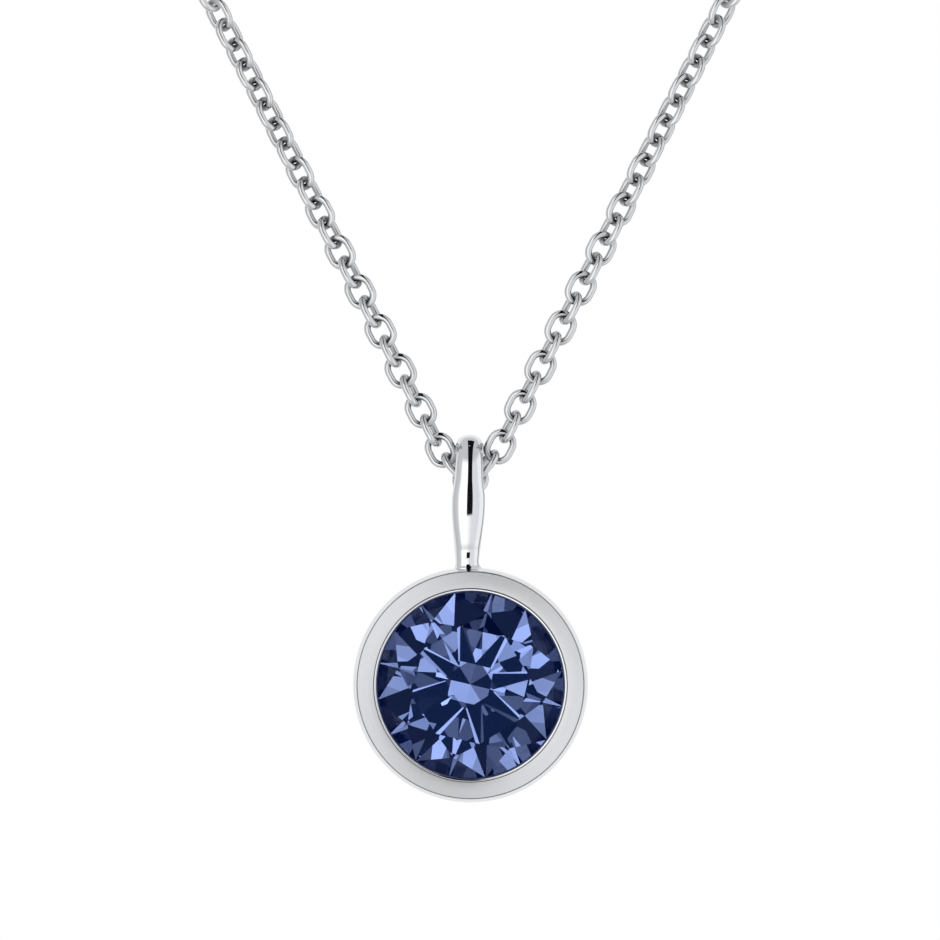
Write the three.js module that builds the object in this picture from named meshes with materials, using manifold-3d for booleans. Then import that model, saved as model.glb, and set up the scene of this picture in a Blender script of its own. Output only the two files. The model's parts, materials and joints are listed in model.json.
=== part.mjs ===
// Solitaire pendant necklace: a round brilliant stone in a plain tapered bezel
// cup with a fixed bail, on a fine oval cable chain with a spring-ring clasp.
//
// Frame: millimetres, +Z up, the stone faces -Y. The necklace hangs from a
// round display bar that runs along Y, and the origin is the bar's centre. The
// two strands hang from the bar in a V, and the rest of the chain is wound on
// the bar in a neat coil that the clasp closes on top.
import * as THREE from "three";
import { ConvexGeometry } from "three/addons/geometries/ConvexGeometry.js";
import { mergeVertices } from "three/addons/utils/BufferGeometryUtils.js";
import Module from "manifold-3d";

const DEG = Math.PI / 180;

// ---------------------------------------------------------------- dimensions
// Stone: round brilliant
const STONE_D = 8.0; // girdle diameter
const TABLE_D = 5.06; // across the table's corners
const CROWN_H = 1.2;
const GIRDLE_T = 0.24;
const PAVILION_D = 3.42;
const STAR_SHARE = 0.5; // where the star facets meet the kites, table to girdle
const LOWER_HALF = 0.76; // length of the lower halves, girdle to culet
const STONE_TURN = 9.2 * DEG; // how the stone is turned in its cup
const STONE_Z = -51.31; // height of the stone's axis

// Bezel cup, turned about the stone's axis
const BEZEL_D = 10.04; // widest
const FACE_D = 9.7; // outer edge of the flat face ring
const OPENING_D = 8.27; // inner edge of the flat face ring
const FACE_Y = -2.02; // front plane of the face ring
const CUP_DEPTH = 4.4; // face to open back
const BACK_D = 8.9; // outer edge of the flat back rim
const BACK_BORE_D = 6.5;

// Bail: an upright loop round the chain, soldered to the top of the cup
const BAIL_TOP = 10.69; // above the stone's axis
const BAIL_FOOT = 5.04;
const BAIL_INNER_TOP = 9.72;
const BAIL_INNER_FOOT = 6.02;
const BAIL_WIDTHS = [ // height above the stone's axis, width seen from the front
  [5.04, 1.0], [5.4, 1.03], [5.9, 1.12], [6.4, 1.225], [6.9, 1.335], [7.3, 1.4],
  [7.7, 1.432], [8.1, 1.41], [8.45, 1.32], [8.8, 1.225], [9.2, 1.2], [10.7, 1.2],
];
const BAIL_LIMB = 0.86; // thickness of a limb, seen from the side
const BAIL_HALF_DEPTH = 1.68; // sets how far the limbs stand from the chain's plane
const BAIL_LEAN = 1.217 * DEG; // the bail stands a touch out of true on the cup
const BAIL_SHIFT = -0.253; // where its leaning axis meets the stone's height

// Cable chain
const WIRE_D = 0.3;
const LINK_L = 1.58;
const LINK_W = 1.28;
const PITCH = 0.951;
const V_ANGLE = 27 * DEG; // each strand from the vertical
const LEVELS = 23; // links of each strand that are made one by one
const FACE_LINK = { x: 1.265, z: 10.115 }; // first face-on link above the bail
const SIDE_SHIFT = 0.075; // the right links sit higher by twice this

// Wound part of the chain, on a display bar
const BAR_R = 19.2;
const COIL_R = 19.87; // radius of the chain's centre on the bar
const COIL_PITCH = 1.36; // from turn to turn, along the bar
const HALF_TURNS = 1 + 117 / 360; // each strand's share of the winding
const CHAIN_D = 1.28;

// Spring-ring clasp, lying on the coil's top
const CLASP_Z = 21.42;
const CLASP_R = 2.15; // centre of the tube
const CLASP_TUBE_R = 0.6;
const CLASP_BORE_R = 0.4;
const BOLT_R = 0.3;
const GAP_HALF = 25 * DEG;

// ------------------------------------------------------------------ helpers
const wasm = await Module();
wasm.setup();

const V = (x, y, z) => new THREE.Vector3(x, y, z);

// A solid swept along stations {o, u, v}: a counter-clockwise section in (u, v)
// at each, with u x v pointing along the sweep.
function sweep(stations, sectionAt, closed) {
  const n = sectionAt(0).length;
  const pos = [];
  stations.forEach(({ o, u, v }, i) => {
    for (const [a, b] of sectionAt(i)) {
      pos.push(
        o.x + u.x * a + v.x * b,
        o.y + u.y * a + v.y * b,
        o.z + u.z * a + v.z * b,
      );
    }
  });
  const idx = [];
  const m = stations.length;
  const last = closed ? m : m - 1;
  for (let i = 0; i < last; i++) {
    const j = (i + 1) % m;
    for (let k = 0; k < n; k++) {
      const l = (k + 1) % n;
      idx.push(i * n + k, i * n + l, j * n + l, i * n + k, j * n + l, j * n + k);
    }
  }
  if (!closed) {
    for (let k = 1; k < n - 1; k++) {
      idx.push(0, k + 1, k);
      const e = (m - 1) * n;
      idx.push(e, e + k, e + k + 1);
    }
  }
  const g = new THREE.BufferGeometry();
  g.setAttribute("position", new THREE.Float32BufferAttribute(pos, 3));
  g.setIndex(idx);
  return g;
}

const polygon = (r, n, turn = 0) =>
  Array.from({ length: n }, (_, k) => [
    r * Math.cos((2 * Math.PI * k) / n + turn),
    r * Math.sin((2 * Math.PI * k) / n + turn),
  ]);

// A round ring or part of one in the XY plane, centred on the origin.
function ringStations(r, from, to, steps, closed) {
  const list = [];
  const count = closed ? steps : steps + 1;
  for (let i = 0; i < count; i++) {
    const a = from + ((to - from) * i) / steps;
    list.push({
      o: V(r * Math.cos(a), r * Math.sin(a), 0),
      u: V(Math.cos(a), Math.sin(a), 0),
      v: V(0, 0, -1),
    });
  }
  return list;
}
const torus = (r, wire, steps, sides) =>
  sweep(ringStations(r, 0, 2 * Math.PI, steps, true), () => polygon(wire, sides), true);
const arcTube = (r, wire, from, to, steps, sides) =>
  sweep(ringStations(r, from, to, steps, false), () => polygon(wire, sides), false);

// To and from manifold-3d, for joins and cuts.
function solid(geometry) {
  const g = geometry.clone();
  g.deleteAttribute("normal");
  g.deleteAttribute("uv");
  const m = mergeVertices(g, 1e-4);
  return new wasm.Manifold(
    new wasm.Mesh({
      numProp: 3,
      vertProperties: new Float32Array(m.attributes.position.array),
      triVerts: new Uint32Array(m.index.array),
    }),
  );
}
function geometryOf(manifold) {
  const m = manifold.getMesh();
  const g = new THREE.BufferGeometry();
  const pos = new Float32Array(m.numVert * 3);
  for (let i = 0; i < m.numVert; i++)
    pos.set(m.vertProperties.subarray(i * m.numProp, i * m.numProp + 3), i * 3);
  g.setAttribute("position", new THREE.BufferAttribute(pos, 3));
  g.setIndex(new THREE.BufferAttribute(new Uint32Array(m.triVerts), 1));
  return g;
}

const metal = (color = 0xe4e6e9, roughness = 0.12) =>
  new THREE.MeshStandardMaterial({ color, roughness, metalness: 1 });

const necklace = new THREE.Group();
function piece(name, geometry, material, parent = necklace) {
  const g = geometry.index ? geometry.toNonIndexed() : geometry;
  g.computeVertexNormals();
  const mesh = new THREE.Mesh(g, material);
  mesh.name = name;
  parent.add(mesh);
  return mesh;
}

// ---------------------------------------------------------------- the stone
// Built about +Y: the table is at y = 0 and the culet at the back.
function brilliant() {
  const R = STONE_D / 2;
  const rt = TABLE_D / 2;
  const points = [];
  const at = (r, angle, y) => points.push(V(r * Math.cos(angle), y, r * Math.sin(angle)));
  const tableApothem = rt * Math.cos(22.5 * DEG);
  const rm = tableApothem + STAR_SHARE * (R - tableApothem);
  const hm = (CROWN_H * (R - rm * Math.cos(22.5 * DEG))) / (R - rt);
  const rn = (1 - LOWER_HALF) * R;
  const dn = PAVILION_D * (1 - (rn * Math.cos(22.5 * DEG)) / R);
  for (let i = 0; i < 8; i++) {
    const a = i * 45 * DEG;
    at(rt, a, 0);
    at(rm, a + 22.5 * DEG, CROWN_H - hm);
    at(rn, a + 22.5 * DEG, CROWN_H + GIRDLE_T + dn);
  }
  for (let i = 0; i < 32; i++) {
    const a = i * 11.25 * DEG;
    at(R, a, CROWN_H);
    at(R, a, CROWN_H + GIRDLE_T);
  }
  at(0, 0, CROWN_H + GIRDLE_T + PAVILION_D);
  return new ConvexGeometry(points);
}

const pendant = new THREE.Group();
pendant.position.set(0, 0, STONE_Z);
necklace.add(pendant);

const stone = piece(
  "gemstone",
  brilliant(),
  new THREE.MeshStandardMaterial({
    color: 0x3c4e9b,
    roughness: 0.02,
    metalness: 0,
    transparent: true,
    opacity: 0.85,
  }),
  pendant,
);
// the girdle sits just under the cup's lip
const GIRDLE_Y = FACE_Y + 0.46;
stone.position.y = GIRDLE_Y - CROWN_H;
stone.rotation.y = -STONE_TURN;

// ------------------------------------------------------------- the bezel cup
// Profile in (radius, y), turned about Y. It runs from the lip round the face,
// down the outer wall, over the back rim and up the bore to the stone's seat.
{
  const seatY = GIRDLE_Y + GIRDLE_T + 0.3;
  const backY = FACE_Y + CUP_DEPTH;
  const profile = [
    [3.96, FACE_Y + 0.28],
    [OPENING_D / 2, FACE_Y],
    [FACE_D / 2, FACE_Y],
    [BEZEL_D / 2 - 0.05, FACE_Y + 0.28],
    [BEZEL_D / 2, FACE_Y + 0.55],
    [BEZEL_D / 2, FACE_Y + 1.1],
    [BEZEL_D / 2 - 0.12, FACE_Y + 2.6],
    [BACK_D / 2 + 0.2, backY - 0.3],
    [BACK_D / 2, backY],
    [BACK_BORE_D / 2, backY],
    [BACK_BORE_D / 2, seatY + 0.75],
    [4.06, seatY],
    [4.06, GIRDLE_Y - 0.1],
    [3.96, FACE_Y + 0.28],
  ].map(([r, y]) => new THREE.Vector2(r, y));
  const g = new THREE.LatheGeometry(profile, 56);
  piece("bezel_cup", g, metal(0xdfe1e5, 0.16), pendant);
}

// ------------------------------------------------------------------ the bail
// A closed sweep in the YZ plane. Its section is a rounded bar, widest low down
// and narrowing to the foot and the crown.
{
  const steps = 32;
  const top = (BAIL_TOP + BAIL_INNER_TOP) / 2;
  const foot = (BAIL_FOOT + BAIL_INNER_FOOT) / 2;
  const mid = (top + foot) / 2;
  const half = (top - foot) / 2;
  const stations = [];
  const sizes = [];
  for (let i = 0; i < steps; i++) {
    const t = (2 * Math.PI * i) / steps;
    // long-sided, and deepest a little below its middle
    const at = (w) =>
      V(
        0,
        BAIL_HALF_DEPTH *
          (1 - 0.0612 * Math.cos(w) + 0.1748 * Math.cos(2 * w)) *
          Math.sin(w),
        mid + half * Math.cos(w),
      );
    const o = at(t);
    const tangent = at(t + 1e-3).sub(o).normalize();
    const v = V(1, 0, 0);
    const u = v.clone().cross(tangent).normalize(); // u x v = tangent
    stations.push({ o, u, v });
    const k = BAIL_WIDTHS.findIndex(([z]) => z > o.z);
    const [z0, w0] = BAIL_WIDTHS[k - 1];
    const [z1, w1] = BAIL_WIDTHS[k];
    const width = w0 + ((w1 - w0) * (o.z - z0)) / (z1 - z0);
    const ends = Math.abs(Math.cos(t)) ** 3;
    const thick = BAIL_LIMB + (BAIL_TOP - BAIL_INNER_TOP - BAIL_LIMB) * ends;
    sizes.push([thick / 2, width / 2]);
  }
  const shape = [
    [1, 0], [0.86, 0.52], [0.5, 0.9], [0, 1], [-0.62, 0.86], [-1, 0.4],
    [-1, -0.4], [-0.62, -0.86], [0, -1], [0.5, -0.9], [0.86, -0.52],
  ];
  const g = sweep(
    stations,
    (i) => shape.map(([a, b]) => [a * sizes[i][0], b * sizes[i][1]]),
    true,
  );
  const bail = piece("bail", g, metal(), pendant);
  bail.rotation.y = BAIL_LEAN;
  bail.position.x = BAIL_SHIFT;
}

// ----------------------------------------------------------------- the chain
// One link: a stadium-shaped ring of round wire, long along its own Y, flat in
// its own XY.
function linkGeometry(sides = 6, arcSteps = 6) {
  const r = (LINK_W - WIRE_D) / 2;
  const straight = (LINK_L - LINK_W) / 2;
  const stations = [];
  for (const [side, from] of [[1, 0], [-1, Math.PI]]) {
    for (let i = 0; i <= arcSteps; i++) {
      const a = from + (Math.PI * i) / arcSteps;
      stations.push({
        o: V(r * Math.cos(a), r * Math.sin(a) + side * straight, 0),
        u: V(Math.cos(a), Math.sin(a), 0),
        v: V(0, 0, -1),
      });
    }
  }
  return sweep(stations, () => polygon(WIRE_D / 2, sides), true);
}
const oneLink = linkGeometry();

// The links' roll about the strand: neighbours stand nearly square to each
// other, and the strand twists slowly, so that low down they show in turn their
// face and their edge, and far up each shows half of both.
function roll(i, side) {
  const f = THREE.MathUtils.smoothstep(i, 4, 19);
  return side * (i % 2 === 1 ? 45 * f : 27 * f - 72) * DEG;
}
function placeLink(mesh, centre, along, rollAngle) {
  const y = along.clone().normalize();
  const flat = V(0, 1, 0).addScaledVector(y, -y.y).normalize();
  const across = y.clone().cross(flat);
  const n = flat
    .clone()
    .multiplyScalar(Math.cos(rollAngle))
    .addScaledVector(across, Math.sin(rollAngle));
  const x = y.clone().cross(n);
  mesh.quaternion.setFromRotationMatrix(new THREE.Matrix4().makeBasis(x, y, n));
  mesh.position.copy(centre);
}
const endReach = (LINK_L - WIRE_D) / 2; // link centre to the middle of its end wire

const strandPoint = (side, i) => {
  const s = (i - 1) * PITCH;
  const z = FACE_LINK.z + side * SIDE_SHIFT;
  return V(
    side * (FACE_LINK.x + s * Math.sin(V_ANGLE)),
    0,
    STONE_Z + z + s * Math.cos(V_ANGLE),
  );
};
const strandDir = (side) => V(side * Math.sin(V_ANGLE), 0, Math.cos(V_ANGLE));

// The link inside the bail lies across. The two links beside it lean in to meet
// it, and each pulls in line with the centres of the two bends that it joins.
const BEND_R = (LINK_W - WIRE_D) / 2;
const BEND_AT = (LINK_L - LINK_W) / 2; // link centre to the centre of an end bend
const bends = {};
for (const side of [-1, 1]) {
  const b1 = strandPoint(side, 1).addScaledVector(strandDir(side), -BEND_AT);
  const span = PITCH * 2 - 2 * endReach + 2 * BEND_R;
  const dx = Math.abs(b1.x) - BEND_AT;
  bends[side] = { b1, z: b1.z - Math.sqrt(span * span - dx * dx) };
}
const centreZ = (bends[-1].z + bends[1].z) / 2;
const lean = Math.atan2(bends[1].z - bends[-1].z, 2 * BEND_AT + 2 * BEND_R);
{
  const mesh = piece("link_centre", oneLink, metal());
  placeLink(mesh, V(0, 0, centreZ), V(Math.cos(lean), 0, Math.sin(lean)), 0);
}
for (const side of [-1, 1]) {
  const tag = side < 0 ? "l" : "r";
  for (let i = 0; i < LEVELS; i++) {
    const mesh = piece(`link_${tag}_${String(i).padStart(2, "0")}`, oneLink, metal());
    if (i === 0) {
      const c = V(
        side * BEND_AT * Math.cos(lean),
        0,
        centreZ + side * BEND_AT * Math.sin(lean),
      );
      const along = bends[side].b1.clone().sub(c);
      const centre = bends[side].b1.clone().add(c).multiplyScalar(0.5);
      placeLink(mesh, centre, along, roll(0, side));
    } else {
      placeLink(mesh, strandPoint(side, i), strandDir(side), roll(i, side));
    }
  }
}

// Plain lengths of chain from the last single link up to the bar, and the wound
// part on the bar.
for (const side of [-1, 1]) {
  const start = strandPoint(side, LEVELS - 1).addScaledVector(
    strandDir(side),
    LINK_L / 2 + 0.3,
  );
  const tangentAt = V(
    side * COIL_R * Math.cos(V_ANGLE),
    0,
    -COIL_R * Math.sin(V_ANGLE),
  );
  const total = tangentAt.clone().sub(start).length();
  // it ends a little before the coil's outer face
  const clear = COIL_R + CHAIN_D / 2 + 0.3 + CHAIN_D / 2;
  const stop = total - Math.sqrt(clear * clear - COIL_R * COIL_R);
  const sideways = side * COIL_PITCH * HALF_TURNS;
  const dir = tangentAt.clone().sub(start).normalize();
  const stations = [];
  const steps = 6;
  for (let i = 0; i <= steps; i++) {
    const s = (stop * i) / steps;
    const f = s / total;
    const o = start.clone().addScaledVector(dir, s);
    o.y = sideways * f * f * (3 - 2 * f);
    const slope = (sideways * 6 * f * (1 - f)) / total;
    const t = V(dir.x, slope, dir.z).normalize();
    const v = V(0, 1, 0).addScaledVector(t, -t.y).normalize();
    const u = v.clone().cross(t);
    stations.push({ o, u, v });
  }
  piece(
    side < 0 ? "strand_left" : "strand_right",
    sweep(stations, () => polygon(CHAIN_D / 2, 8, 22.5 * DEG), false),
    metal(),
  );
}
{
  const halfWide = COIL_PITCH * HALF_TURNS + CHAIN_D / 2;
  const inner = BAR_R + 0.03;
  const outer = COIL_R + CHAIN_D / 2;
  const profile = [
    [inner, -halfWide + 0.35],
    [inner + 0.35, -halfWide],
    [outer - 0.35, -halfWide],
    [outer, -halfWide + 0.35],
    [outer, halfWide - 0.35],
    [outer - 0.35, halfWide],
    [inner + 0.35, halfWide],
    [inner, halfWide - 0.35],
    [inner, -halfWide + 0.35],
  ].map(([r, y]) => new THREE.Vector2(r, y));
  piece("chain_coil", new THREE.LatheGeometry(profile, 64), metal(0xd8dadd, 0.25));
}

// ----------------------------------------------------------------- the clasp
const clasp = new THREE.Group();
clasp.position.set(0, 0, CLASP_Z);
necklace.add(clasp);
{
  // the C-shaped tube with its slot and its eye
  const outer = solid(
    arcTube(CLASP_R, CLASP_TUBE_R, GAP_HALF, 2 * Math.PI - GAP_HALF, 26, 10),
  );
  const bore = solid(
    arcTube(CLASP_R, CLASP_BORE_R, GAP_HALF - 0.1, 2 * Math.PI - GAP_HALF + 0.1, 26, 8),
  );
  // slot for the knob: a curved bar over the tube's top
  const slotSection = [[0.24, 0.2], [-0.24, 0.2], [-0.24, -1], [0.24, -1]];
  const slot = solid(
    sweep(
      ringStations(CLASP_R, 34 * DEG, 112 * DEG, 8, false),
      () => slotSection.map(([a, b]) => [a, b - 0.3]),
      false,
    ),
  );
  const eyeAt = new THREE.Matrix4().makeTranslation(-(CLASP_R + 1.05), 0, 0);
  const eye = solid(torus(0.62, 0.2, 12, 6).applyMatrix4(eyeAt));
  const eyeHole = solid(
    new THREE.CylinderGeometry(0.41, 0.41, 1, 10)
      .rotateX(Math.PI / 2)
      .applyMatrix4(eyeAt),
  );
  const body = outer.add(eye).subtract(eyeHole).subtract(bore).subtract(slot);
  piece("clasp_tube", geometryOf(body), metal(), clasp);

  // the bolt with its thumb knob
  const rod = solid(arcTube(CLASP_R, BOLT_R, -33 * DEG, 75 * DEG, 9, 6));
  const knobAngle = 46 * DEG;
  const knob = solid(
    new THREE.CylinderGeometry(0.2, 0.2, 0.85, 8)
      .rotateX(Math.PI / 2)
      .translate(CLASP_R * Math.cos(knobAngle), CLASP_R * Math.sin(knobAngle), 0.425),
  );
  piece("clasp_bolt", geometryOf(rod.add(knob)), metal(), clasp);

  // the return spring behind it, coiled along the bore
  const turns = 6;
  const per = 7;
  const stations = [];
  for (let i = 0; i <= turns * per; i++) {
    const f = i / (turns * per);
    const a = (78 + 86 * f) * DEG;
    const w = 2 * Math.PI * turns * f;
    const at = (ang, ph) => {
      const rr = CLASP_R + 0.26 * Math.cos(ph);
      return V(rr * Math.cos(ang), rr * Math.sin(ang), 0.26 * Math.sin(ph));
    };
    const o = at(a, w);
    const e = 1e-3;
    const t = at(a + 86 * DEG * e, w + 2 * Math.PI * turns * e).sub(o).normalize();
    const centre = V(CLASP_R * Math.cos(a), CLASP_R * Math.sin(a), 0);
    const out = o.clone().sub(centre).normalize();
    const v = t.clone().cross(out).normalize();
    const u = v.clone().cross(t);
    stations.push({ o, u, v });
  }
  piece(
    "clasp_spring",
    sweep(stations, () => polygon(0.06, 4), false),
    metal(0xc9ccd0, 0.25),
    clasp,
  );

  // jump ring through the eye, and the end ring that the bolt closes on
  const jump = piece("jump_ring", torus(0.75, 0.13, 16, 6), metal(), clasp);
  jump.rotation.x = Math.PI / 2;
  jump.position.x = -4.0;
  const end = piece("end_ring", torus(0.9, 0.14, 16, 6), metal(), clasp);
  end.rotation.x = (90 - 35) * DEG;
  end.position.x = 2.5;
}

export default necklace;
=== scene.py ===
import json
import math

import bmesh
import bpy
import numpy as np
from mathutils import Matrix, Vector


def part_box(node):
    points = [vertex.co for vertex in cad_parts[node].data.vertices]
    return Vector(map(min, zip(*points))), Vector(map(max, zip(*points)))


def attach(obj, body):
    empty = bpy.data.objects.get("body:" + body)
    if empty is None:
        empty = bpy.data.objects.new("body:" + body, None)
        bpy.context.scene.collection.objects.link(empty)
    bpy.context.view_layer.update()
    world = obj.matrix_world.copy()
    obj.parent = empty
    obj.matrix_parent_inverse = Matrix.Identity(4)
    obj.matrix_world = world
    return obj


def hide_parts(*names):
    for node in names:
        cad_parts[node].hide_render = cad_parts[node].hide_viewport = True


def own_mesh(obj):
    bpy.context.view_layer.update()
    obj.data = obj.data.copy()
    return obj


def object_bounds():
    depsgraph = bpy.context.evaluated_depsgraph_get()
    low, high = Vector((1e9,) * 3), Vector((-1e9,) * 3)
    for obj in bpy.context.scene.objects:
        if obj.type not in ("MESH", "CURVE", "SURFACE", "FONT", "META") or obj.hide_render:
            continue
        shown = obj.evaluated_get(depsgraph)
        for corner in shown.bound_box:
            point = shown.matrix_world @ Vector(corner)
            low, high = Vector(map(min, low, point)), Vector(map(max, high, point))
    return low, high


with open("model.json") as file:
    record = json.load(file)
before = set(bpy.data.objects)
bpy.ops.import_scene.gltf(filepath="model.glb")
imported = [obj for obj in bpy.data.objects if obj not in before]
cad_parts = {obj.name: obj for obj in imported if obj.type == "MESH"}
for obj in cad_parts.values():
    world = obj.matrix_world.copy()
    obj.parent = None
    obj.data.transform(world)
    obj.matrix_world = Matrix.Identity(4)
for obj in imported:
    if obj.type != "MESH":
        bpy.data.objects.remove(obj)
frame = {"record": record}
cad_lo, cad_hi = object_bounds()
record = frame["record"]
MM = 0.001
DEG = math.pi / 180

# ------------------------------------------------------------- where things are
cup_lo, cup_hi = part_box("bezel_cup")
AXIS_X = (cup_lo.x + cup_hi.x) / 2 / MM
STONE_Z = (cup_lo.z + cup_hi.z) / 2 / MM
FACE_Y = cup_lo.y / MM
BACK_Y = cup_hi.y / MM
BEZEL_R = (cup_hi.x - cup_lo.x) / 2 / MM

# the same sizes as the CAD part, in millimetres
STONE_R, TABLE_R = 4.0, 2.53
CROWN_H, GIRDLE_T, PAVILION_D = 1.2, 0.24, 3.42
STAR_SHARE, LOWER_HALF, STONE_TURN = 0.5, 0.76, 9.2 * DEG
GIRDLE_Y = FACE_Y + 0.46
OPENING_R = 4.135
BAIL_TOP, BAIL_FOOT, BAIL_INNER_TOP, BAIL_INNER_FOOT = 10.69, 5.04, 9.72, 6.02
BAIL_WIDTHS = [  # height above the stone's axis, width seen from the front
    (5.04, 1.0), (5.4, 1.03), (5.9, 1.12), (6.4, 1.225), (6.9, 1.335), (7.3, 1.4),
    (7.7, 1.432), (8.1, 1.41), (8.45, 1.32), (8.8, 1.225), (9.2, 1.2), (10.7, 1.2),
]
BAIL_LIMB, BAIL_HALF_DEPTH = 0.86, 1.68
BAIL_LEAN, BAIL_X = 1.217 * DEG, -0.253
WIRE_D, LINK_L, LINK_W, PITCH, V_ANGLE = 0.3, 1.58, 1.28, 0.951, 27 * DEG
LEVELS, FACE_LINK_X, FACE_LINK_Z, SIDE_SHIFT = 23, 1.265, 10.115, 0.075
COIL_R, COIL_PITCH, HALF_TURNS, CHAIN_D = 19.87, 1.36, 1 + 117 / 360, 1.28
CLASP_Z, CLASP_R, TUBE_R, BORE_R, BOLT_R, GAP_HALF = 21.42, 2.15, 0.6, 0.4, 0.3, 25 * DEG

# ------------------------------------------------------------------- the camera
cam_data = bpy.data.cameras.new("camera")
cam_data.type = "PERSP"
cam_data.lens = 600
cam_data.sensor_width = 36
cam_data.clip_start = 0.05
cam_data.clip_end = 20
VIEW_W = 40.26 * MM  # width of the view at the chain's plane
camera = bpy.data.objects.new("camera", cam_data)
bpy.context.scene.collection.objects.link(camera)
camera.location = (-0.02 * MM, -VIEW_W * 600 / 36, (STONE_Z + 9.19) * MM)
camera.rotation_euler = (math.pi / 2, 0, 0)
bpy.context.scene.camera = camera
bpy.context.scene.view_settings.view_transform = "Standard"


# ------------------------------------------------------------------ mesh helpers
def unit(v):
    v = np.asarray(v, float)
    return v / np.linalg.norm(v)


def new_object(name, verts, faces, smooth=True, sharp=None):
    """verts in millimetres, in the row frame."""
    mesh = bpy.data.meshes.new(name)
    mesh.from_pydata((np.asarray(verts, float) * MM).tolist(), [], faces)
    mesh.validate()
    mesh.update()
    mesh.polygons.foreach_set("use_smooth", [smooth] * len(mesh.polygons))
    if smooth and sharp:
        mesh.set_sharp_from_angle(angle=sharp * DEG)
    o = bpy.data.objects.new(name, mesh)
    bpy.context.scene.collection.objects.link(o)
    return o


def quads(m, n, closed):
    i = np.arange(m if closed else m - 1)
    j = (i + 1) % m
    k = np.arange(n)
    l = (k + 1) % n
    a, b = i[:, None] * n, j[:, None] * n
    return np.stack([a + k, a + l, b + l, b + k], axis=-1).reshape(-1, 4)


def sweep(o, u, v, section, closed):
    """Verts and faces of a section swept along stations o with axes u, v; u x v points along the sweep."""
    o, u, v = (np.asarray(x, float) for x in (o, u, v))
    s = np.asarray(section, float)
    if s.ndim == 2:
        s = np.broadcast_to(s, (len(o),) + s.shape)
    p = o[:, None] + u[:, None] * s[..., 0:1] + v[:, None] * s[..., 1:2]
    m, n = p.shape[:2]
    faces = quads(m, n, closed).tolist()
    if not closed:
        faces += [list(range(n))[::-1], [(m - 1) * n + k for k in range(n)]]
    return p.reshape(-1, 3), faces


def circle(r, n):
    t = np.arange(n) * 2 * math.pi / n
    return np.stack([r * np.cos(t), r * np.sin(t)], axis=1)


def arc_stations(r, a0, a1, steps, closed=False):
    t = a0 + (a1 - a0) * np.arange(steps if closed else steps + 1) / steps
    z = np.zeros_like(t)
    o = np.stack([r * np.cos(t), r * np.sin(t), z], axis=1)
    u = np.stack([np.cos(t), np.sin(t), z], axis=1)
    v = np.tile([0.0, 0.0, -1.0], (len(t), 1))
    return o, u, v


def joined(parts):
    verts, faces, base = [], [], 0
    for p, f in parts:
        verts.append(np.asarray(p, float))
        faces += [[i + base for i in face] for face in f]
        base += len(p)
    return np.concatenate(verts), faces


def lathe_y(profile, segments, centre):
    """A closed profile in (radius, y), turned about Y, facing out."""
    prof = np.asarray(profile, float)
    t = np.arange(segments) * 2 * math.pi / segments
    p = np.stack(
        [
            centre[0] + prof[None, :, 0] * np.cos(t)[:, None],
            np.broadcast_to(centre[1] + prof[None, :, 1], (segments, len(prof))),
            centre[2] + prof[None, :, 0] * np.sin(t)[:, None],
        ],
        axis=-1,
    )
    return p.reshape(-1, 3), quads(segments, len(prof), True).tolist()


def facing_out(o):
    bm = bmesh.new()
    bm.from_mesh(o.data)
    bmesh.ops.recalc_face_normals(bm, faces=bm.faces)
    bm.to_mesh(o.data)
    bm.free()
    return o


# --------------------------------------------------------------------- materials
class Graph:
    """Short names for building a node tree."""

    def __init__(self, tree):
        self.tree = tree
        tree.nodes.clear()

    def node(self, kind, **settings):
        n = self.tree.nodes.new(kind)
        for k, v in settings.items():
            setattr(n, k, v)
        return n

    def link(self, a, b):
        self.tree.links.new(a, b)

    def put(self, socket, value):
        if isinstance(value, bpy.types.NodeSocket):
            self.link(value, socket)
        else:
            socket.default_value = value

    def math(self, op, a, b=0.0, c=0.0, clamp=False):
        n = self.node("ShaderNodeMath", operation=op, use_clamp=clamp)
        for s, x in zip(n.inputs, (a, b, c)):
            self.put(s, x)
        return n.outputs[0]

    def step(self, x, lo, hi):
        """0 below lo, 1 above hi, smooth between."""
        n = self.node("ShaderNodeMapRange", interpolation_type="SMOOTHSTEP", clamp=True)
        for key, value in (("Value", x), ("From Min", lo), ("From Max", hi)):
            self.put(n.inputs[key], value)
        return n.outputs[0]

    def remap(self, x, lo, hi, a, b):
        n = self.node("ShaderNodeMapRange", clamp=True)
        for key, value in (
            ("Value", x), ("From Min", lo), ("From Max", hi), ("To Min", a), ("To Max", b),
        ):
            self.put(n.inputs[key], value)
        return n.outputs[0]

    def mix(self, f, a, b):
        n = self.node("ShaderNodeMix", data_type="RGBA")
        self.put(n.inputs[0], f)
        self.put(n.inputs[6], a)
        self.put(n.inputs[7], b)
        return n.outputs[2]

    def noise(self, coords, scale, detail=3.0, rough=0.5):
        n = self.node("ShaderNodeTexNoise")
        self.put(n.inputs["Vector"], coords)
        n.inputs["Scale"].default_value = scale
        n.inputs["Detail"].default_value = detail
        n.inputs["Roughness"].default_value = rough
        return n.outputs[0]


def rgb(r, g, b):
    return (r, g, b, 1.0)


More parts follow.
